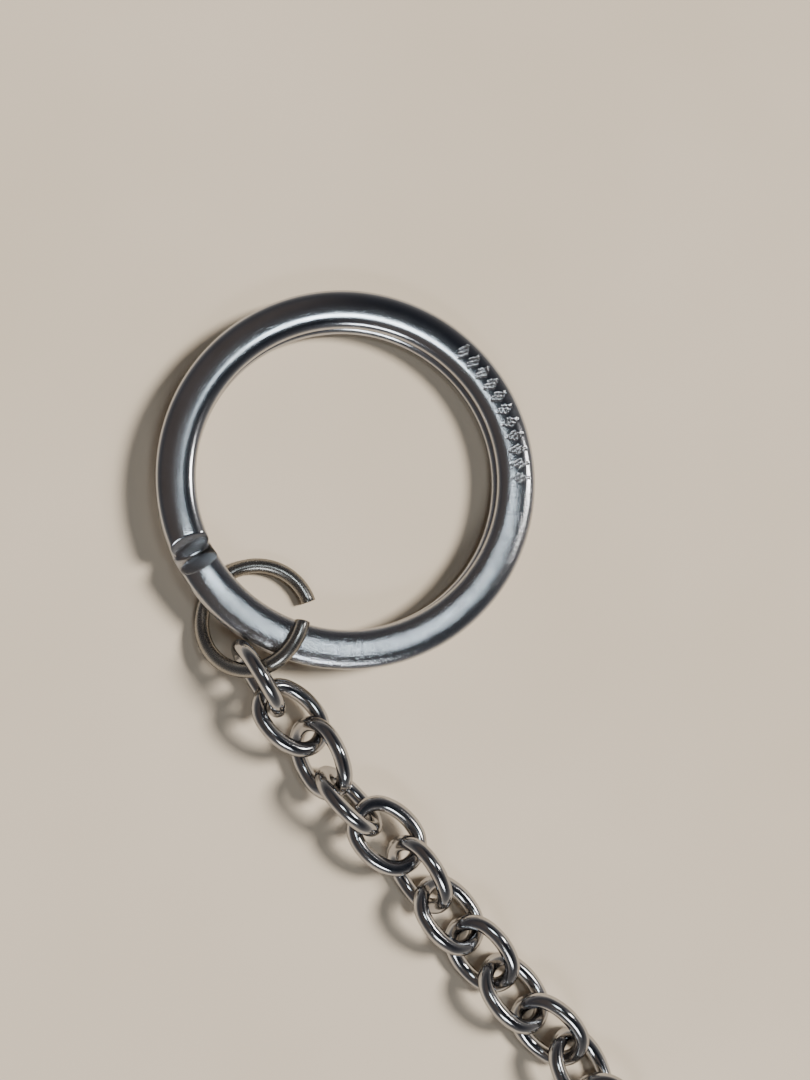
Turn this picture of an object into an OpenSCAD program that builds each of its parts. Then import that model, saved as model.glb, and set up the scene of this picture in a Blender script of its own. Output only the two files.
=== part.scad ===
// Key chain: a double-coil split ring, an open jump ring, a cable chain and a swivel bolt snap.
// Millimetres, +Z up. The origin is the split ring's centre, on the surface that the chain lies on.
// +X runs along the chain. The split ring leans on the jump ring that passes under it.

/* [Split ring] */
// Outside diameter
ring_od = 35; // [34.5:0.1:35.5]
// Width of the flattened wire, across the face
ring_width = 3.6; // [3.2:0.1:3.8]
// Thickness of one coil of the wire
coil_thick = 1.55; // [1.45:0.05:1.6]
// Radius along the wire's long edges
ring_edge_r = 0.7; // [0.5:0.05:0.7]
// How far the lower coil sits inside the upper one, opposite the crossover
coil_inset = 0.2; // [0:0.05:0.3]
// Direction of the crossover, seen from the ring's centre
crossover_dir = -101.5; // [-108:0.5:-100]
// Lean of the ring, from the jump ring under one side of it
ring_lean = 2.8; // [2.7:0.1:3]

/* [Jump ring] */
// Diameter of the round wire
jump_wire = 1.4; // [1.2:0.05:1.4]
// Radius of the wire's centre line
jump_radius = 5; // [4.95:0.05:5.1]
// How far the raised half is twisted up from the flat half
jump_twist = 30; // [29:1:33]

/* [Chain] */
// Diameter of the link wire
link_wire = 1.45; // [1.3:0.05:1.5]
// Overall length of a link
link_length = 8.1; // [8.05:0.05:8.3]
// Radius of a link's end, to the wire's centre line
link_end_r = 2.25; // [2.2:0.05:2.3]
// Half angle of a bowed side
link_bow = 20; // [18:1:22]
// Distance from one interlock to the next
link_pitch = 4.72; // [4.66:0.01:4.76]

/* [End ring] */
// Diameter of the round wire
end_wire = 1.35; // [1.2:0.05:1.45]
// Radius of the wire's centre line
end_radius = 3.6; // [3.5:0.05:3.8]

/* [Bolt snap] */
// Radius of the swivel eye's centre line
eye_radius = 3; // [2.9:0.05:3.2]
// Diameter of the swivel eye's bar
eye_bar = 1.7; // [1.5:0.1:1.8]
// Radius of the swivel stem
stem_r = 1; // [0.9:0.05:1.1]
// Radius of the sliding bolt
bolt_r = 1.1; // [1:0.05:1.2]
// Travel of the sliding bolt
bolt_travel = 3.8; // [3:0.2:3.8]
// Running clearance of the stem and the bolt, on the radius
running_gap = 0.06; // [0.04:0.01:0.1]

/* [Hidden] */
$fn = 64;

// Split ring
coil_gap = 0.06;
ring_height = 2 * coil_thick + coil_gap;
ring_mid_r = ring_od / 2 - ring_width / 2;
// The far edge touches the surface, and this lifts the ring's centre to suit.
rest_r = ring_od / 2 - ring_edge_r;
ring_centre_z = ring_height / 2 * cos(ring_lean) + rest_r * sin(ring_lean);
// Distances along the wire from the middle of the crossover
ramp_half = 0.75;
tip_far = 0.85;
bevel_far = 2.5;
bevel_margin = 0.3;
wire_degree = ring_mid_r * PI / 180;
// Where a wire is drawn in two lengths, one laps the other by this much and is this much slimmer.
lap = 0.2;
lap_step = 0.02;

// Jump ring: its two halves meet at a low point, under the split ring, and are sprung apart there.
jump_low = [-0.4, -16.4];
jump_dir = 20;
flat_sweep = 132;
raised_sweep = 200;

// Chain: heading, rise and roll of each link in degrees, from the jump ring on
chain_start = [5.95, -17.75, 4.4];
link_pose = [
    [-11, -10, 82], [8, -5, -28], [-19, 0, 47], [4, -1, -69], [8, -3, -12], [-11, -2, 54],
    [2, -5, -33], [-5, -1, 33], [1, 0, -35], [4, 0, 33], [-10, 0, -35], [6, 0, 35],
    [-3, 0, -32], [5, 0, 34], [-4, 0, -35], [3, 0, 33], [-2, 1, -34], [0, 1, 35]];
link_count = len(link_pose);
link_end_x = (link_length - link_wire) / 2 - link_end_r;
// The wires of two linked pieces stand this far apart, centre to centre, about each interlock.
interlock = link_length - link_wire - link_pitch;
end_heading = 0;
end_roll = -24;
end_seam = 3;

// Bolt snap, along its own +X from the middle of the swivel eye
eye_roll = 27;
snap_roll = 0;
stem_end = 7.65;
neck_r = 1.5;
neck_start = 3.5;
neck_end = 4.2;
head_r = 1.7;
head_thick = 0.8;
washer_r = 1.85;
washer_thick = 0.3;
plate_start = 4.3;
plate_end = 6.3;
plate_half_width = 4;
plate_half_thick = 1.8;
window_end = 8.4;
window_half_width = 2;
block_end = 12;
barrel_y = -4;
barrel_r = 2.1;
barrel_end = 17;
bore_start = 8.8;
spine_y = 4;
spine_r = 1.5;
nose_end = 21.5;
claw_x = 22.5;
bolt_back = 13.9;
bolt_front = nose_end - 0.15;
bolt_tip = 0.3;
stud_x = 15.2;
stud_r = 0.8;
shank_r = 0.5;
seat_gap = 0.01;
stud_top = -7.3;
knob_r = 1.5;
knob_thick = 0.9;
slot_half = 1;
spring_wire = 0.2;
spring_turns = 5;

function lap_angle(radius) = lap / radius * 180 / PI;
function heading_vector(a, b) = [cos(a) * cos(b), sin(a) * cos(b), sin(b)];
function joint_point(i) = i == 0 ? chain_start
    : joint_point(i - 1) + link_pitch * heading_vector(link_pose[i - 1][0], link_pose[i - 1][1]);
end_way = heading_vector(end_heading, 0);
end_centre = joint_point(link_count) + (end_radius - interlock / 2) * end_way;
eye_start = end_centre + (end_radius - interlock / 2) * end_way;
eye_centre = eye_start + (eye_radius - interlock / 2) * end_way;

// Rounded rectangle about its centre
module rounded_bar(width, height, r) {
    square([width - 2 * r, height], center = true);
    square([width, height - 2 * r], center = true);
    for (x = [-1, 1], y = [-1, 1])
        translate([x * (width / 2 - r), y * (height / 2 - r)]) circle(r);
}

// A bent bar of round wire about the origin, from one angle to another
module wire_arc(radius, wire, from, to) {
    rotate([0, 0, from]) rotate_extrude(angle = to - from) translate([radius, 0]) circle(d = wire);
}

// A rod along X
module rod(r, from, to) {
    translate([from, 0, 0]) rotate([0, 90, 0]) cylinder(r = r, h = to - from);
}

// A block from its lowest to its highest corner
module block(low, high) {
    translate(low) cube(high - low);
}

// A plate across the split ring's wire, drawn along the wire and upwards
module across_wire(points) {
    translate([ring_mid_r - ring_width, 0, 0]) rotate([90, 0, 90])
        linear_extrude(2 * ring_width) polygon(points);
}

// One coil, from the top of the ramp round to its bevelled end, with the crossover on +X
module coil(inset) {
    low = coil_gap / 2;
    high = coil_thick + coil_gap / 2;
    slant = (bevel_far - tip_far) / coil_thick * bevel_margin;
    difference() {
        translate([inset / 2, 0, (low + high) / 2]) rotate([0, 0, ramp_half / wire_degree])
            rotate_extrude(angle = 360 - (ramp_half + tip_far - bevel_margin) / wire_degree)
                translate([ring_mid_r - inset / 2, 0]) rounded_bar(ring_width, coil_thick, ring_edge_r);
        across_wire([[-bevel_far - slant, high + bevel_margin], [-tip_far + slant, low - bevel_margin],
                     [0, low - bevel_margin], [0, high + bevel_margin]]);
    }
}

// The wire between the coils, climbing from the lower one to the upper one
module ramp() {
    low = coil_gap / 2;
    high = coil_thick + 1;
    sweep = 2 * (ramp_half + lap) / wire_degree;
    skin = 2 * lap_step;
    intersection() {
        rotate([0, 0, -sweep / 2]) rotate_extrude(angle = sweep) translate([ring_mid_r, 0])
            rounded_bar(ring_width - skin, ring_height - skin, ring_edge_r);
        across_wire([[-ramp_half - 1, -high], [-ramp_half, -high], [ramp_half, low], [ramp_half + 1, low],
                     [ramp_half + 1, high], [ramp_half, high], [-ramp_half, -low], [-ramp_half - 1, -low]]);
    }
}

// Split ring: two coils, each the other turned over about the crossover, joined by the ramp
module split_ring() {
    color("#8f9196") translate([0, 0, ring_centre_z]) rotate([-ring_lean, 0, 0])
        rotate([0, 0, crossover_dir]) {
            coil(0);
            rotate([180, 0, 0]) coil(coil_inset);
            ramp();
        }
}

// Half of the jump ring, bent about the low point and twisted up from the surface
module jump_half(wire, from, to, twist) {
    translate([jump_low[0], jump_low[1], jump_wire / 2]) rotate([0, 0, jump_dir]) rotate([0, -twist, 0])
        translate([jump_radius, 0, 0]) wire_arc(jump_radius, wire, from, to);
}

// Jump ring
module jump_ring() {
    color("#7c7a75") {
        jump_half(jump_wire, 180 - flat_sweep, 180, 0);
        jump_half(jump_wire - 2 * lap_step, 180 - lap_angle(jump_radius), 180 + raised_sweep, jump_twist);
    }
}

// Puts a piece in line with the chain: its own +X ahead, then rolled about that line
module on_chain(at, heading, rise, roll) {
    translate(at) rotate([0, -rise, heading]) rotate([roll, 0, 0]) children();
}

// One oval link, long axis on X, from two end arcs and two bowed sides
module chain_link(i) {
    pose = link_pose[i];
    middle = joint_point(i) + link_pitch / 2 * heading_vector(pose[0], pose[1]);
    side_y = link_end_x / tan(link_bow);
    side_r = link_end_r + norm([link_end_x, side_y]);
    sweep = link_bow + lap_angle(side_r);
    color("#717276") on_chain(middle, pose[0], pose[1], pose[2])
        for (s = [0, 180]) rotate([0, 0, s]) {
            translate([link_end_x, 0, 0]) wire_arc(link_end_r, link_wire, link_bow - 90, 90 - link_bow);
            translate([0, -side_y, 0]) wire_arc(side_r, link_wire - 2 * lap_step, 90 - sweep, 90 + sweep);
        }
}

// End ring, with the fine seam where its wire meets
module end_ring() {
    color("#7c7a75") on_chain(end_centre, end_heading, 0, end_roll)
        wire_arc(end_radius, end_wire, 90 + end_seam / 2, 450 - end_seam / 2);
}

// Puts a piece of the bolt snap in the snap's own frame
module on_snap(roll) {
    on_chain(eye_centre, end_heading, 0, roll) children();
}

// Swivel eye: eye, neck, stem and riveted head
module swivel_eye() {
    color("#83858a") on_snap(eye_roll) {
        wire_arc(eye_radius, eye_bar, 0, 360);
        rod(neck_r, neck_start, neck_end);
        rod(stem_r, eye_radius, stem_end);
        rod(head_r, stem_end - head_thick, stem_end);
    }
}

// Washer between the swivel plate and the riveted head
module swivel_washer() {
    color("#b3a171") on_snap(0) difference() {
        rod(washer_r, stem_end - head_thick - washer_thick - 0.02, stem_end - head_thick - 0.02);
        rod(stem_r + 0.02, plate_start, stem_end);
    }
}

// Snap body: swivel plate, window for the head, barrel for the bolt, spine and claw
module snap_body() {
    claw_r = (spine_y - barrel_y) / 2;
    claw_y = (spine_y + barrel_y) / 2;
    color("#888a8f") on_snap(snap_roll) difference() {
        union() {
            block([plate_start, -plate_half_width, -plate_half_thick],
                  [block_end, plate_half_width, plate_half_thick]);
            translate([0, barrel_y, 0]) rod(barrel_r, window_end - 1.4, barrel_end);
            translate([0, spine_y, 0]) rod(spine_r, window_end - 1.4, claw_x);
            translate([claw_x, claw_y, 0]) wire_arc(claw_r, 2 * spine_r, -90, 90);
            translate([0, barrel_y, 0]) rod(spine_r, nose_end, claw_x);
        }
        rod(stem_r + running_gap, plate_start - 1, plate_end + 1);
        block([plate_end, -window_half_width, -3], [window_end, window_half_width, 3]);
        translate([0, barrel_y, 0]) rod(bolt_r + running_gap, bore_start, barrel_end + 1);
        block([stud_x - bolt_travel - slot_half, barrel_y - 3, -slot_half],
              [stud_x + slot_half, barrel_y - bolt_r / 2, slot_half]);
    }
}

// Sliding bolt
module snap_bolt() {
    color("#9a9ca1") on_snap(snap_roll) translate([0, barrel_y, 0]) difference() {
        union() {
            rod(bolt_r, bolt_back, bolt_front - bolt_tip);
            rod(bolt_r - bolt_tip, bolt_front - bolt_tip - lap, bolt_front);
        }
        translate([stud_x, 0, 0]) rotate([90, 0, 0]) cylinder(r = shank_r, h = 2 * bolt_r);
    }
}

// Thumb stud: its shank is pressed into the bolt, and its stem stands through the slot
module thumb_stud() {
    seat = bolt_r - barrel_y + seat_gap;
    color("#9a9ca1") on_snap(snap_roll) translate([stud_x, 0, 0]) rotate([90, 0, 0]) {
        translate([0, 0, -barrel_y]) cylinder(r = shank_r, h = bolt_r + lap);
        translate([0, 0, seat]) cylinder(r = stud_r, h = -stud_top - seat);
        translate([0, 0, -stud_top - knob_thick]) cylinder(r = knob_r, h = knob_thick);
    }
}

// Bolt spring: each turn is an upright half and a half that leans on to the next turn
module bolt_spring() {
    coil_r = bolt_r - spring_wire;
    start = bore_start + spring_wire;
    pitch = (bolt_back - spring_wire - start) / spring_turns;
    lean = atan(pitch / (2 * coil_r));
    lean_r = coil_r / cos(lean);
    extra = lap_angle(coil_r) / 2;
    color("#b9b9b9") on_snap(snap_roll) translate([start, barrel_y, 0]) rotate([0, 90, 0]) {
        for (k = [0 : spring_turns])
            translate([0, 0, k * pitch]) wire_arc(coil_r, spring_wire, 0, 180);
        for (k = [0 : spring_turns - 1])
            translate([-coil_r, 0, k * pitch]) rotate([0, -lean, 0]) translate([lean_r, 0, 0])
                wire_arc(lean_r, spring_wire - 2 * lap_step, 180 - extra, 360 + extra);
    }
}

split_ring();
jump_ring();
for (i = [0 : link_count - 1]) chain_link(i);
end_ring();
swivel_eye();
swivel_washer();
snap_body();
snap_bolt();
thumb_stud();
bolt_spring();
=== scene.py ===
"""Looks of the key chain, around its CAD frame: split ring, jump ring, cable chain and swivel bolt snap.

Lengths in the tables are millimetres in the row frame; scene units are metres.
"""
import math

import bpy
import numpy as np
from mathutils import Matrix, Vector


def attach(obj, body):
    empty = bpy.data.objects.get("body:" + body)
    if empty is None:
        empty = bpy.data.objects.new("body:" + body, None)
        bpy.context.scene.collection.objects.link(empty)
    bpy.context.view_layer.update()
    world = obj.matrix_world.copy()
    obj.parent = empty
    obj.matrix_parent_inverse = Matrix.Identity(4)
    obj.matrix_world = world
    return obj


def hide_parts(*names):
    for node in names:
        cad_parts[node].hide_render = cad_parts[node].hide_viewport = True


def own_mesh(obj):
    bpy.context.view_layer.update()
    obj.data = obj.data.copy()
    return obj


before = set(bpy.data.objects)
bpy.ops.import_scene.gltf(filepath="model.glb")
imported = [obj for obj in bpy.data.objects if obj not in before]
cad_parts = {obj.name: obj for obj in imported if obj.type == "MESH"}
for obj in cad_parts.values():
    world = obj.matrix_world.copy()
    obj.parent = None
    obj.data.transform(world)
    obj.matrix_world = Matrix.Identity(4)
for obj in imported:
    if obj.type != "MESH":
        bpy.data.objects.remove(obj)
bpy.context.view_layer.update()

MM = 0.001
TO_MM = (1 / MM, 1 / MM, 1 / MM)
SKIN_INSIDE = 0.01  # how far a wire's skin stays inside its CAD solid

# Split ring
RING_OUTER = 17.5
RING_WIDTH = 3.6
COIL_THICK = 1.55
COIL_GAP = 0.06
COIL_INSET = 0.2
RING_EDGE = 0.7
CROSSOVER_DIR = -101.5
RING_LEAN = 2.8
RAMP_HALF = 0.75
TIP_FAR = 0.85
BEVEL_FAR = 2.5
FACE_CROWN = 2.35
STAMP_FROM = 47.0
STAMP_TO = 99.0
STAMP_COUNT = 11
STAMP_ACROSS = 0.3
STAMP_DEEP = 0.07
STAMP_DOT = 0.13
STAMP_ROW = 0.36
OUTLINE_ABOVE = 84
OUTLINE_BELOW = 44
TIP_LEAD = np.array([0.0, 0.03, 0.09, 0.2])  # distances from a wire end where its edge rounds off
TIP_SHRINK = np.array([0.14, 0.07, 0.025, 0.0])  # how far the section has shrunk there
TIP_CLEAR = 0.4
SLANT_SPAN = 12.0  # degrees of wire over which an end's slant fades out

# Jump ring
JUMP_WIRE = 1.4
JUMP_RADIUS = 5.0
JUMP_LOW = (-0.4, -16.4)
JUMP_DIR = 20.0
JUMP_TWIST = 30.0
FLAT_SWEEP = 132.0
RAISED_SWEEP = 200.0

# Chain: heading, rise and roll of each link
LINK_WIRE = 1.45
LINK_LENGTH = 8.1
LINK_END_R = 2.25
LINK_BOW = 20.0
LINK_PITCH = 4.72
LINK_INSIDE = 0.022
LINK_WAVE = 0.006
WELD_SWELL = 0.006
WELD_LENGTH = 0.5
CHAIN_START = (5.95, -17.75, 4.4)
LINK_POSE = [
    (-11, -10, 82), (8, -5, -28), (-19, 0, 47), (4, -1, -69), (8, -3, -12), (-11, -2, 54),
    (2, -5, -33), (-5, -1, 33), (1, 0, -35), (4, 0, 33), (-10, 0, -35), (6, 0, 35),
    (-3, 0, -32), (5, 0, 34), (-4, 0, -35), (3, 0, 33), (-2, 1, -34), (0, 1, 35)]
INTERLOCK = LINK_LENGTH - LINK_WIRE - LINK_PITCH
END_RADIUS = 3.6
END_WIRE = 1.35
END_ROLL = -24.0
END_SEAM = 3.0
SPRING_WIRE = 0.4
SPRING_TURNS = 6

# Camera, fitted to the photograph's view of the ring
VIEW_CENTRE = (7.79, 0.65, 0.0)
VIEW_DISTANCE = 150.0
VIEW_TURN = 49.0
VIEW_TILT_RIGHT = -7.98
VIEW_TILT_UP = -3.77
SENSOR = 24.0
LENS = SENSOR * 40 / 27

# Lamps the metal mirrors: name, compass direction, degrees off the vertical, power, colour, size in metres
LAMP_DISTANCE = 0.5
LAMPS = [
    ("lamp_top", VIEW_TURN + 13.8, 9.7, 0.23, (0.82, 0.94, 1.0), (0.06, 0.075)),
    ("lamp_near", VIEW_TURN - 90, 42, 0.5, (0.90, 0.96, 1.0), (0.16, 0.08)),
    ("glint_right", VIEW_TURN + 12, 48, 0.4, (1.0, 0.97, 0.94), (0.06, 0.06))]
KEY_POWER = 6.0
KEY_SPREAD = 14.0
KEY_COLOUR = (1.0, 0.96, 0.90)

# Surroundings: colours over the object from the view's left to its right, and round it from the horizon up
OVERHEAD = [(0.56, (0.155, 0.13, 0.12)), (0.71, (0.018, 0.022, 0.032))]
WALLS = [(0.0, (0.95, 0.86, 0.75)), (0.08, (0.80, 0.74, 0.66)),
         (0.2, (0.36, 0.34, 0.32)), (0.6, (0.10, 0.10, 0.11))]
WALL_TO_OVERHEAD = [(0.6, 0.0), (0.88, 1.0)]
WORLD_STRENGTH = 0.7
FLOOR_REACH = 1500.0
FLOOR_TONES = [(0.3, (0.56, 0.47, 0.36)), (0.7, (0.61, 0.52, 0.41))]

# Near-black colour painted into crevices and pits as shade
CREVICE_SHADE = (0.03, 0.025, 0.02)


# ---------------------------------------------------------------- geometry helpers

def turn(axis, degrees):
    return np.array(Matrix.Rotation(math.radians(degrees), 3, axis))


def heading_frame(heading, rise, roll):
    return turn("Z", heading) @ turn("Y", -rise) @ turn("X", roll)


def unit(v):
    return v / np.linalg.norm(v, axis=-1, keepdims=True)


def arc(radius, start, stop, steps):
    t = np.radians(np.linspace(start, stop, steps))
    return np.stack([radius * np.cos(t), radius * np.sin(t), 0 * t], -1)


def make_object(name, verts, faces, uvs, material):
    """A smooth mesh from millimetre vertices; uvs holds one (u, v) in millimetres a corner."""
    mesh = bpy.data.meshes.new(name)
    mesh.from_pydata((np.asarray(verts) * MM).tolist(), [], faces)
    layer = mesh.uv_layers.new(name="wire")
    layer.data.foreach_set("uv", np.asarray(uvs, float).ravel())
    mesh.polygons.foreach_set("use_smooth", [True] * len(mesh.polygons))
    mesh.materials.append(material)
    mesh.validate()
    obj = bpy.data.objects.new(name, mesh)
    bpy.context.scene.collection.objects.link(obj)
    return obj


def skin(name, rings, along, around, closed, material):
    """Faces over a grid of rings (stations, points, 3), with end caps if the path is open."""
    n, m = rings.shape[:2]
    i, j = np.meshgrid(np.arange(n if closed else n - 1), np.arange(m), indexing="ij")
    i, j = i.ravel(), j.ravel()
    i2, j2 = (i + 1) % n, (j + 1) % m
    quads = np.stack([i * m + j, i * m + j2, i2 * m + j2, i2 * m + j], -1)
    corner_u = np.stack([along[i], along[i], along[i + 1], along[i + 1]], -1)
    corner_v = np.stack([around[j], around[j + 1], around[j + 1], around[j]], -1)
    uvs = np.stack([corner_u, corner_v], -1).reshape(-1, 2)
    faces = quads.tolist()
    if not closed:
        faces += [list(range(m))[::-1], list(range((n - 1) * m, n * m))]
        uvs = np.concatenate([uvs, np.zeros((2 * m, 2))])
    return make_object(name, rings.reshape(-1, 3), faces, uvs, material)


def lengths(points, closed):
    steps = np.linalg.norm(np.diff(points, axis=0, append=points[:1]), axis=1)
    total = np.concatenate([[0], np.cumsum(steps)])
    return total if closed else total[:-1]


def tube(name, path, radius, closed, material, around=28, rounding=0.12):
    """Round wire along a path of points. An open end is cut square, with its edge rounded off."""
    path = np.asarray(path, float)
    if not closed:
        ahead, back = unit(path[1] - path[0]), unit(path[-1] - path[-2])
        steps = np.array([0.0, 0.3, 0.65, 1.0]) * rounding
        start, end = path[0] + ahead * steps[:3, None], path[-1] - back * steps[2::-1, None]
        path = np.concatenate([start, path[3:-3], end])
    if closed:
        tangent = unit(np.roll(path, -1, 0) - np.roll(path, 1, 0))
    else:
        tangent = unit(np.gradient(path, axis=0))
    side = np.zeros_like(path)
    seed = np.cross(tangent[0], (0, 0, 1.0))
    side[0] = unit(seed if np.linalg.norm(seed) > 0.1 else np.cross(tangent[0], (0, 1.0, 0)))
    for k in range(1, len(path)):
        v = side[k - 1] - tangent[k] * (side[k - 1] @ tangent[k])
        side[k] = unit(v)
    up = np.cross(tangent, side)
    if closed:
        last = side[-1] - tangent[0] * (side[-1] @ tangent[0])
        slip = math.atan2(unit(last) @ up[0], unit(last) @ side[0])
        share = -slip * np.arange(len(path))[:, None] / len(path)
        side, up = np.cos(share) * side + np.sin(share) * up, np.cos(share) * up - np.sin(share) * side
    t = np.linspace(0, 2 * math.pi, around, endpoint=False)
    r = np.broadcast_to(radius, (len(path),)).astype(float).copy()
    if not closed:
        drop = rounding * (1 - np.sqrt(1 - (1 - np.array([0.0, 0.3, 0.65])) ** 2))
        r[:3] -= drop
        r[-3:] -= drop[::-1]
    circle = np.cos(t)[:, None] * side[:, None] + np.sin(t)[:, None] * up[:, None]
    rings = path[:, None] + r[:, None, None] * circle
    v = np.arange(around + 1) * 2 * math.pi * float(r.max()) / around
    return skin(name, rings, lengths(path, closed), v, closed, material)


# ---------------------------------------------------------------- materials

def node(tree, kind, inputs=None, **settings):
    n = tree.nodes.new(kind)
    for key, value in settings.items():
        setattr(n, key, value)
    for key, value in (inputs or {}).items():
        if isinstance(value, bpy.types.NodeSocket):
            tree.links.new(value, n.inputs[key])
        else:
            n.inputs[key].default_value = value
    return n


def ramp(tree, source, stops):
    """A colour ramp of (position, value) stops on a scalar."""
    n = node(tree, "ShaderNodeValToRGB", {"Fac": source})
    elements = n.color_ramp.elements
    while len(elements) < len(stops):
        elements.new(0.5)
    for e, (pos, value) in zip(elements, stops):
        e.position = pos
        e.color = (*value, 1) if isinstance(value, tuple) else (value, value, value, 1)
    return n.outputs["Color"]


def noise(tree, vector, scale, detail=3.0, rough=0.55):
    inputs = {"Vector": vector, "Scale": scale, "Detail": detail, "Roughness": rough}
    return node(tree, "ShaderNodeTexNoise", inputs)


def scaled(tree, vector, scale):
    return node(tree, "ShaderNodeMapping", {"Vector": vector, "Scale": scale}).outputs["Vector"]


def math_node(tree, op, a, b, clamp=False):
    return node(tree, "ShaderNodeMath", {0: a, 1: b}, operation=op, use_clamp=clamp).outputs[0]


def mixed(tree, factor, a, b):
    inputs = {"Factor": factor, "A": a, "B": b}
    return node(tree, "ShaderNodeMix", inputs, data_type="RGBA").outputs["Result"]


def steel(name, colour, stain, rough, streak=0.25, pit=0.2, scratch=0.3, crevice_shade=0.35, edge=0.8, worn=None):
    """Bare plated steel: draw marks along the wire, fine pits, hairline scratches, and painted shade that
    darkens the crevices.

    worn is (compass direction, extra roughness, extra pitting) of the side that pockets have dulled.
    """
    mat = bpy.data.materials.new(name)
    mat.use_nodes = True
    t = mat.node_tree
    shader = t.nodes["Principled BSDF"]
    where = node(t, "ShaderNodeTexCoord")
    body = scaled(t, where.outputs["Object"], TO_MM)
    wire = node(t, "ShaderNodeUVMap", uv_map="wire").outputs["UV"]
    drawn = noise(t, scaled(t, wire, (0.35, 5.0, 1.0)), 1.0, 3.0).outputs["Fac"]
    cloud = noise(t, body, 0.35, 4.0).outputs["Fac"]
    fine = noise(t, body, 9.0, 4.0, 0.7).outputs["Fac"]
    grain = noise(t, body, 8.0, 1.0, 0.5).outputs["Fac"]
    hair = noise(t, scaled(t, wire, (0.8, 14.0, 1.0)), 1.0, 2.0, 0.4).outputs["Fac"]
    hair_line = ramp(t, hair, [(0.0, 0.0), (0.63, 0.0), (0.68, 1.0), (0.73, 0.0)])
    # Painted shade: ambient occlusion mixes the near-black colour into the base colour in crevices, pits and
    # between the coils.
    shade = node(t, "ShaderNodeAmbientOcclusion", {"Distance": 0.0012}, samples=8).outputs["AO"]
    tint = mixed(t, ramp(t, cloud, [(0.35, 0.0), (0.75, 1.0)]), (*colour, 1), (*stain, 1))
    shaded_tint = mixed(t, ramp(t, shade, [(0.0, crevice_shade), (0.7, 0.0)]), tint, (*CREVICE_SHADE, 1))
    t.links.new(shaded_tint, shader.inputs["Base Color"])
    spread = math_node(t, "MULTIPLY", math_node(t, "SUBTRACT", fine, 0.5), 0.2)
    spread = math_node(t, "ADD", spread, math_node(t, "MULTIPLY", math_node(t, "SUBTRACT", cloud, 0.5), 0.08))
    final = math_node(t, "ADD", spread, rough, clamp=True)
    height = math_node(t, "ADD", math_node(t, "MULTIPLY", drawn, streak), math_node(t, "MULTIPLY", fine, pit))
    height = math_node(t, "SUBTRACT", height, math_node(t, "MULTIPLY", hair_line, scratch * 0.3))
    if worn:
        heading, dull, pits = worn
        way = (math.cos(math.radians(heading)), math.sin(math.radians(heading)), 0.0)
        side = node(t, "ShaderNodeVectorMath", {0: body, 1: way}, operation="DOT_PRODUCT").outputs["Value"]
        side = math_node(t, "ADD", side, math_node(t, "MULTIPLY", math_node(t, "SUBTRACT", cloud, 0.5), 5.0))
        reach = {"Value": side, "From Min": 0.0, "From Max": 9.0}
        dulled = node(t, "ShaderNodeMapRange", reach).outputs["Result"]
        final = math_node(t, "ADD", final, math_node(t, "MULTIPLY", dulled, dull), clamp=True)
        pocked = math_node(t, "MULTIPLY", math_node(t, "MULTIPLY", grain, dulled), pits)
        height = math_node(t, "ADD", height, pocked)
    t.links.new(final, shader.inputs["Roughness"])
    bump = node(t, "ShaderNodeBump", {"Height": height, "Strength": 0.35, "Distance": 0.00002})
    t.links.new(bump.outputs["Normal"], shader.inputs["Normal"])
    shader.inputs["Metallic"].default_value = 1.0
    shader.inputs["Specular Tint"].default_value = (edge, edge, edge, 1)
    return mat


# ---------------------------------------------------------------- split ring

def ring_place(points):
    """From the ring's own frame, with the crossover on +X, to the row frame."""
    centre_z = (COIL_THICK + COIL_GAP / 2) * math.cos(math.radians(RING_LEAN))
    centre_z += (RING_OUTER - RING_EDGE) * math.sin(math.radians(RING_LEAN))
    return points @ (turn("X", -RING_LEAN) @ turn("Z", CROSSOVER_DIR)).T + (0, 0, centre_z)


def ring_outline(upper, lower):
    """The wire's flattened section from its outer edge over the top, with fewer points below."""
    t = np.linspace(0, math.pi, 2001)
    c, h = np.cos(t), np.sin(t)
    curve = np.stack([np.sign(c) * np.abs(c) ** (2 / FACE_CROWN) * RING_WIDTH / 2,
                      h ** (2 / FACE_CROWN) * COIL_THICK / 2], -1)
    far = np.concatenate([[0], np.cumsum(np.linalg.norm(np.diff(curve, axis=0), axis=1))])
    over = [np.interp(np.linspace(0, far[-1], upper + 1)[:-1], far, curve[:, k]) for k in (0, 1)]
    under = [np.interp(np.linspace(0, far[-1], lower + 1)[:-1], far, curve[:, k]) for k in (0, 1)]
    return np.concatenate([np.stack(over, -1), -np.stack(under, -1)])


def ring_stations():
    """Angles along the wire from the lower end to the upper end, closer where there is detail."""
    degree = (RING_OUTER - RING_WIDTH / 2) * math.pi / 180
    first, last = TIP_FAR / degree, 720 - TIP_FAR / degree
    fine_ramp = np.arange(355.0, 365.0, 0.12)
    stamp = np.arange(360 + STAMP_FROM - CROSSOVER_DIR - 2, 360 + STAMP_TO - CROSSOVER_DIR + 2, 0.16)
    angles = np.concatenate([np.arange(first, last, 1.0), fine_ramp, stamp, [last]])
    return np.unique(np.round(angles, 3))


def climb(along, local):
    """Heights of a station's outline points: two levels of the section, joined by a flat slope."""
    level = (COIL_THICK + COIL_GAP) / 2
    slope = level / RAMP_HALF
    over = slope * along + COIL_THICK / 2
    under = slope * along - COIL_THICK / 2
    top = np.minimum(local + level, np.maximum(over, local - level))
    bottom = np.maximum(local - level, np.minimum(under, local + level))
    return np.where(local > 0, top, bottom)


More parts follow.
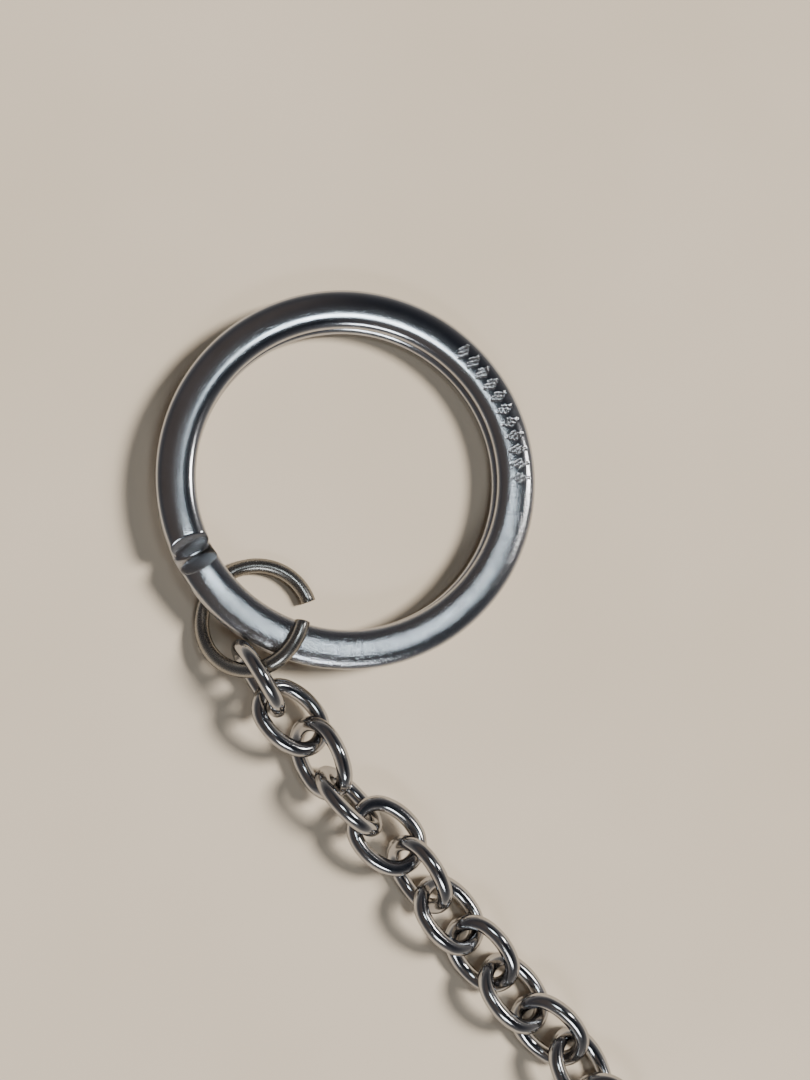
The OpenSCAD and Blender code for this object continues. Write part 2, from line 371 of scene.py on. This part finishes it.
def stamp_depth(angle, across):
    """A repeating band of stippled lozenges: plain ornament, no letters."""
    row = angle + CROSSOVER_DIR - 360
    pitch = (STAMP_TO - STAMP_FROM) / STAMP_COUNT
    index = np.clip(np.floor((row - STAMP_FROM) / pitch), 0, STAMP_COUNT - 1)
    u = ((row - STAMP_FROM) / pitch - index - 0.5) * pitch * (RING_OUTER - RING_WIDTH / 2) * math.pi / 180
    v = across - STAMP_ACROSS
    line = np.round(v / STAMP_ROW)
    shift = np.mod(line, 2) * 0.5
    spot = np.round(u / STAMP_ROW - shift) + shift
    dot = np.hypot(u - spot * STAMP_ROW, v - line * STAMP_ROW) - STAMP_DOT
    kept = np.abs(spot) * 1.2 + np.abs(line) < 2.3
    uneven = 0.85 + 0.15 * np.sin(index * 7.3 + line * 3.1 + spot * 5.7)
    inside = (row > STAMP_FROM) & (row < STAMP_TO) & kept
    return np.where(inside, np.clip(-dot / 0.1 + 0.5, 0, 1) * uneven, 0.0)


def split_ring(material):
    mid_r = RING_OUTER - RING_WIDTH / 2
    degree = mid_r * math.pi / 180
    outline = ring_outline(OUTLINE_ABOVE, OUTLINE_BELOW)
    angles = ring_stations()
    clear = TIP_CLEAR / degree
    angles = angles[(angles > angles[0] + clear) & (angles < angles[-1] - clear)]
    first, last = TIP_FAR / degree, 720 - TIP_FAR / degree
    angles = np.concatenate([first + TIP_LEAD / degree, angles, last - TIP_LEAD[::-1] / degree])
    inset = np.concatenate([TIP_SHRINK, np.zeros(len(angles) - 2 * len(TIP_LEAD)), TIP_SHRINK[::-1]])
    x = outline[None, :, 0] * (1 - inset[:, None] / (RING_WIDTH / 2))
    z = outline[None, :, 1] * (1 - inset[:, None] / (COIL_THICK / 2))
    # The slanted cut of each end: the outer face stops short of the tip.
    slant = (BEVEL_FAR - TIP_FAR) / COIL_THICK
    near_end = np.clip((angles - (last - SLANT_SPAN)) / SLANT_SPAN, 0, 1)[:, None]
    near_start = np.clip(((first + SLANT_SPAN) - angles) / SLANT_SPAN, 0, 1)[:, None]
    shift = (near_start * (COIL_THICK / 2 - z) - near_end * (z + COIL_THICK / 2)) * slant / degree
    theta = np.radians(angles[:, None] + shift)
    lower = (angles < 360).astype(float)
    offset = COIL_INSET / 2 * lower[:, None] * (1 - np.cos(np.radians(angles)))[:, None]
    face = (outline[None, :, 1] > COIL_THICK * 0.35).astype(float)
    z = z - STAMP_DEEP * face * stamp_depth(np.broadcast_to(angles[:, None], z.shape), x)
    radius = mid_r - offset + x
    along = np.broadcast_to(((angles - 360) * degree)[:, None], z.shape)
    points = np.stack([radius * np.cos(theta), radius * np.sin(theta), climb(along, z)], -1)
    rings = ring_place(points.reshape(-1, 3)).reshape(points.shape)
    around = lengths(outline, True)
    return skin("split_ring_wire", rings, angles * degree, around, False, material)


# ---------------------------------------------------------------- round wire pieces

def jump_half(start, stop, twist, steps):
    flat = arc(JUMP_RADIUS, start, stop, steps) + (JUMP_RADIUS, 0, 0)
    return flat @ (turn("Z", JUMP_DIR) @ turn("Y", -twist)).T + (*JUMP_LOW, JUMP_WIRE / 2)


def jump_ring(material):
    flat = jump_half(180 - FLAT_SWEEP, 180, 0, 70)
    raised = jump_half(180, 180 + RAISED_SWEEP, JUMP_TWIST, 110)[1:]
    path = np.concatenate([flat, raised])
    return tube("jump_ring_wire", path, JUMP_WIRE / 2 - SKIN_INSIDE, False, material, around=32, rounding=0.1)


def node_box(name):
    """Lowest and highest corner of a CAD node, in millimetres."""
    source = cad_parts[name]
    corners = np.array([source.matrix_world @ Vector(corner) for corner in source.bound_box]) / MM
    return corners.min(0), corners.max(0)


def link_path(steps):
    end_x = (LINK_LENGTH - LINK_WIRE) / 2 - LINK_END_R
    side_y = end_x / math.tan(math.radians(LINK_BOW))
    side_r = LINK_END_R + math.hypot(end_x, side_y)
    half = [arc(LINK_END_R, LINK_BOW - 90, 90 - LINK_BOW, steps)[:-1] + (end_x, 0, 0),
            arc(side_r, 90 - LINK_BOW, 90 + LINK_BOW, steps // 2)[:-1] + (0, -side_y, 0)]
    half = np.concatenate(half)
    return np.concatenate([half, half * (-1, -1, 1)])


def chain_layout():
    """Middle and axes of each link, and the point where the chain ends."""
    at = np.array(CHAIN_START, float)
    places = []
    for pose in LINK_POSE:
        axes = heading_frame(*pose)
        places.append((at + axes[:, 0] * LINK_PITCH / 2, axes))
        at = at + axes[:, 0] * LINK_PITCH
    return places, at


def link(index, place, material, rng):
    """One link: round wire with a slightly swollen weld in the middle of one side."""
    middle, axes = place
    path = link_path(44)
    weld = np.array([0, 1.0 if index % 2 else -1.0, 0]) * path[:, 1].max()
    near = np.exp(-np.sum((path - weld) ** 2, 1) / WELD_LENGTH ** 2)
    wobble = LINK_WAVE * np.sin(np.linspace(0, 4 * math.pi, len(path), endpoint=False) + rng.uniform(0, 6))
    radius = LINK_WIRE / 2 - LINK_INSIDE + wobble + WELD_SWELL * near
    return tube(f"link_{index + 1:02d}_wire", path @ axes.T + middle, radius, True, material)


def end_ring(at, material):
    axes = heading_frame(0, 0, END_ROLL)
    path = arc(END_RADIUS, 90 + END_SEAM / 2, 450 - END_SEAM / 2, 140) @ axes.T + at
    return tube("end_ring_wire", path, END_WIRE / 2, False, material, rounding=0.08)


def bolt_spring(material):
    """The bolt's spring as one wound wire, in the place of its CAD node, which it fills."""
    low, high = node_box("bolt_spring")
    wire = SPRING_WIRE / 2
    middle, coil = (low + high) / 2, (high[1] - low[1]) / 2 - wire
    share = np.linspace(0, 1, 40 * SPRING_TURNS)
    around = share * 2 * math.pi * SPRING_TURNS
    along = low[0] + wire + share * (high[0] - low[0] - 2 * wire)
    path = np.stack([along, middle[1] + coil * np.cos(around), middle[2] + coil * np.sin(around)], -1)
    skin_r = wire - SKIN_INSIDE / 2
    spring = tube("bolt_spring_wound", path, skin_r, False, material, around=16, rounding=0.05)
    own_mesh(spring)
    return spring


# ---------------------------------------------------------------- cast and turned pieces

def soften(name, cad_name, material, voxel, rounds):
    """A copy of a CAD node with its edges melted, as a casting or a tumbled part has them."""
    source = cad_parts[cad_name]
    mesh = source.data.copy()
    mesh.name = name
    mesh.transform(Matrix.Scale(1 / MM, 4))
    obj = bpy.data.objects.new(name, mesh)
    bpy.context.scene.collection.objects.link(obj)
    remesh = obj.modifiers.new("remesh", "REMESH")
    remesh.mode = "VOXEL"
    remesh.voxel_size = voxel
    smooth = obj.modifiers.new("smooth", "SMOOTH")
    smooth.factor = 0.5
    smooth.iterations = rounds
    depsgraph = bpy.context.evaluated_depsgraph_get()
    baked = bpy.data.meshes.new_from_object(obj.evaluated_get(depsgraph))
    obj.modifiers.clear()
    obj.data = baked
    bpy.data.meshes.remove(mesh)
    baked.name = name
    baked.transform(Matrix.Scale(MM, 4))
    baked.polygons.foreach_set("use_smooth", [True] * len(baked.polygons))
    baked.materials.clear()
    baked.materials.append(material)
    layer = baked.uv_layers.new(name="wire")
    co = np.zeros(len(baked.vertices) * 3)
    baked.vertices.foreach_get("co", co)
    corner = np.zeros(len(baked.loops), int)
    baked.loops.foreach_get("vertex_index", corner)
    co = co.reshape(-1, 3)[corner] / MM
    layer.data.foreach_set("uv", np.stack([co[:, 0], co[:, 1] + co[:, 2]], -1).ravel())
    return obj


# ---------------------------------------------------------------- camera, light and floor

def view_axes():
    turn_by = math.radians(VIEW_TURN)
    right = np.array([math.cos(turn_by), math.sin(turn_by), 0])
    up = np.array([-math.sin(turn_by), math.cos(turn_by), 0])
    lean_right, lean_up = math.tan(math.radians(VIEW_TILT_RIGHT)), math.tan(math.radians(VIEW_TILT_UP))
    back = unit(np.array([0, 0, 1.0]) + lean_right * right + lean_up * up)
    right = unit(right - back * (back @ right))
    return right, np.cross(back, right), back


def make_camera():
    right, up, back = view_axes()
    data = bpy.data.cameras.new("camera")
    data.sensor_fit = "VERTICAL"
    data.sensor_height = SENSOR
    data.lens = LENS
    data.clip_start = 0.005
    data.clip_end = 10
    camera = bpy.data.objects.new("camera", data)
    bpy.context.scene.collection.objects.link(camera)
    spot = (np.array(VIEW_CENTRE) + VIEW_DISTANCE * back) * MM
    pose = np.eye(4)
    pose[:3, 0], pose[:3, 1], pose[:3, 2], pose[:3, 3] = right, up, back, spot
    camera.matrix_world = Matrix(pose.tolist())
    bpy.context.scene.camera = camera


def studio_light(name, kind, turn_deg, from_top, power, colour):
    """A light aimed at the ring: turn is its compass direction, from_top its angle off the vertical."""
    data = bpy.data.lights.new(name, kind)
    data.energy = power
    data.color = colour
    obj = bpy.data.objects.new(name, data)
    bpy.context.scene.collection.objects.link(obj)
    a, b = math.radians(turn_deg), math.radians(from_top)
    way = Vector((math.sin(b) * math.cos(a), math.sin(b) * math.sin(a), math.cos(b)))
    obj.location = way * LAMP_DISTANCE
    obj.rotation_euler = way.to_track_quat("Z", "Y").to_euler()
    return obj


def make_lights():
    """One broad key that lights the floor and casts the shadows, and lamps that the metal mirrors."""
    key = studio_light("key_right", "SUN", VIEW_TURN + 12, 40, KEY_POWER, KEY_COLOUR)
    key.data.angle = math.radians(KEY_SPREAD)
    key.visible_glossy = False
    for name, turn_deg, from_top, power, colour, size in LAMPS:
        lamp = studio_light(name, "AREA", turn_deg, from_top, power, colour)
        lamp.data.shape = "RECTANGLE"
        lamp.data.size, lamp.data.size_y = size


def make_world():
    world = bpy.data.worlds.new("studio")
    bpy.context.scene.world = world
    world.use_nodes = True
    t = world.node_tree
    where = node(t, "ShaderNodeTexCoord")
    way = where.outputs["Generated"]
    height = node(t, "ShaderNodeSeparateXYZ", {"Vector": way}).outputs["Z"]
    right = (math.cos(math.radians(VIEW_TURN)), math.sin(math.radians(VIEW_TURN)), 0.0)
    side = node(t, "ShaderNodeVectorMath", {0: way, 1: right}, operation="DOT_PRODUCT").outputs["Value"]
    overhead = ramp(t, math_node(t, "ADD", side, 0.5), OVERHEAD)
    walls = ramp(t, height, WALLS)
    tone = mixed(t, ramp(t, height, WALL_TO_OVERHEAD), walls, overhead)
    t.links.new(tone, t.nodes["Background"].inputs["Color"])
    t.nodes["Background"].inputs["Strength"].default_value = WORLD_STRENGTH


def make_floor():
    mat = bpy.data.materials.new("floor_pale")
    mat.use_nodes = True
    t = mat.node_tree
    shader = t.nodes["Principled BSDF"]
    where = scaled(t, node(t, "ShaderNodeTexCoord").outputs["Object"], TO_MM)
    mottle = noise(t, where, 0.02, 3.0).outputs["Fac"]
    tone = ramp(t, mottle, FLOOR_TONES)
    t.links.new(tone, shader.inputs["Base Color"])
    shader.inputs["Roughness"].default_value = 0.55
    reach = FLOOR_REACH
    verts = [(-reach, -reach, 0), (reach, -reach, 0), (reach, reach, 0), (-reach, reach, 0)]
    floor = make_object("floor", verts, [[0, 1, 2, 3]], [(0, 0), (1, 0), (1, 1), (0, 1)], mat)


# ---------------------------------------------------------------- build

def place(piece, body, slot, *nodes):
    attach(piece, body)
    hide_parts(*nodes)


make_camera()
make_world()
make_floor()
make_lights()

ring_steel = steel("ring_steel", (0.56, 0.57, 0.60), (0.50, 0.50, 0.51), 0.15, worn=(-28.0, 0.05, 3.4))
wire_steel = steel("wire_steel", (0.40, 0.39, 0.37), (0.30, 0.285, 0.265), 0.27, streak=1.4, edge=0.4)
link_steel = steel("link_steel", (0.54, 0.54, 0.55), (0.42, 0.41, 0.41), 0.13, streak=0.35, edge=0.65)
snap_metal = steel("snap_metal", (0.55, 0.55, 0.57), (0.44, 0.43, 0.42), 0.26)
bolt_steel = steel("bolt_steel", (0.60, 0.60, 0.62), (0.50, 0.49, 0.48), 0.2)
washer_brass = steel("washer_brass", (0.72, 0.58, 0.28), (0.5, 0.38, 0.18), 0.3)
spring_steel = steel("spring_steel", (0.55, 0.55, 0.55), (0.42, 0.41, 0.4), 0.3)

place(split_ring(ring_steel), "split_ring", "ring_steel", "split_ring")
place(jump_ring(wire_steel), "jump_ring", "wire_steel", "jump_ring")
places, chain_end = chain_layout()
random = np.random.default_rng(7)
for number, spot in enumerate(places):
    name = f"link_{number + 1:02d}"
    place(link(number, spot, link_steel, random), name, "link_steel", name)
ring_at = chain_end + np.array([END_RADIUS - INTERLOCK / 2, 0, 0])
place(end_ring(ring_at, wire_steel), "end_ring", "wire_steel", "end_ring")
place(soften("swivel_eye_turned", "swivel_eye", snap_metal, 0.1, 6), "swivel_eye", "snap_metal", "swivel_eye")
place(soften("snap_body_cast", "snap_body", snap_metal, 0.14, 12), "snap_body", "snap_metal", "snap_body")
place(soften("snap_bolt_turned", "snap_bolt", bolt_steel, 0.08, 3), "snap_bolt", "bolt_steel", "snap_bolt")
place(soften("thumb_stud_turned", "thumb_stud", bolt_steel, 0.07, 4), "snap_bolt", "bolt_steel", "thumb_stud")
place(bolt_spring(spring_steel), "snap_body", "spring_steel", "bolt_spring")
for material_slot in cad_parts["swivel_washer"].material_slots:
    material_slot.material = washer_brass
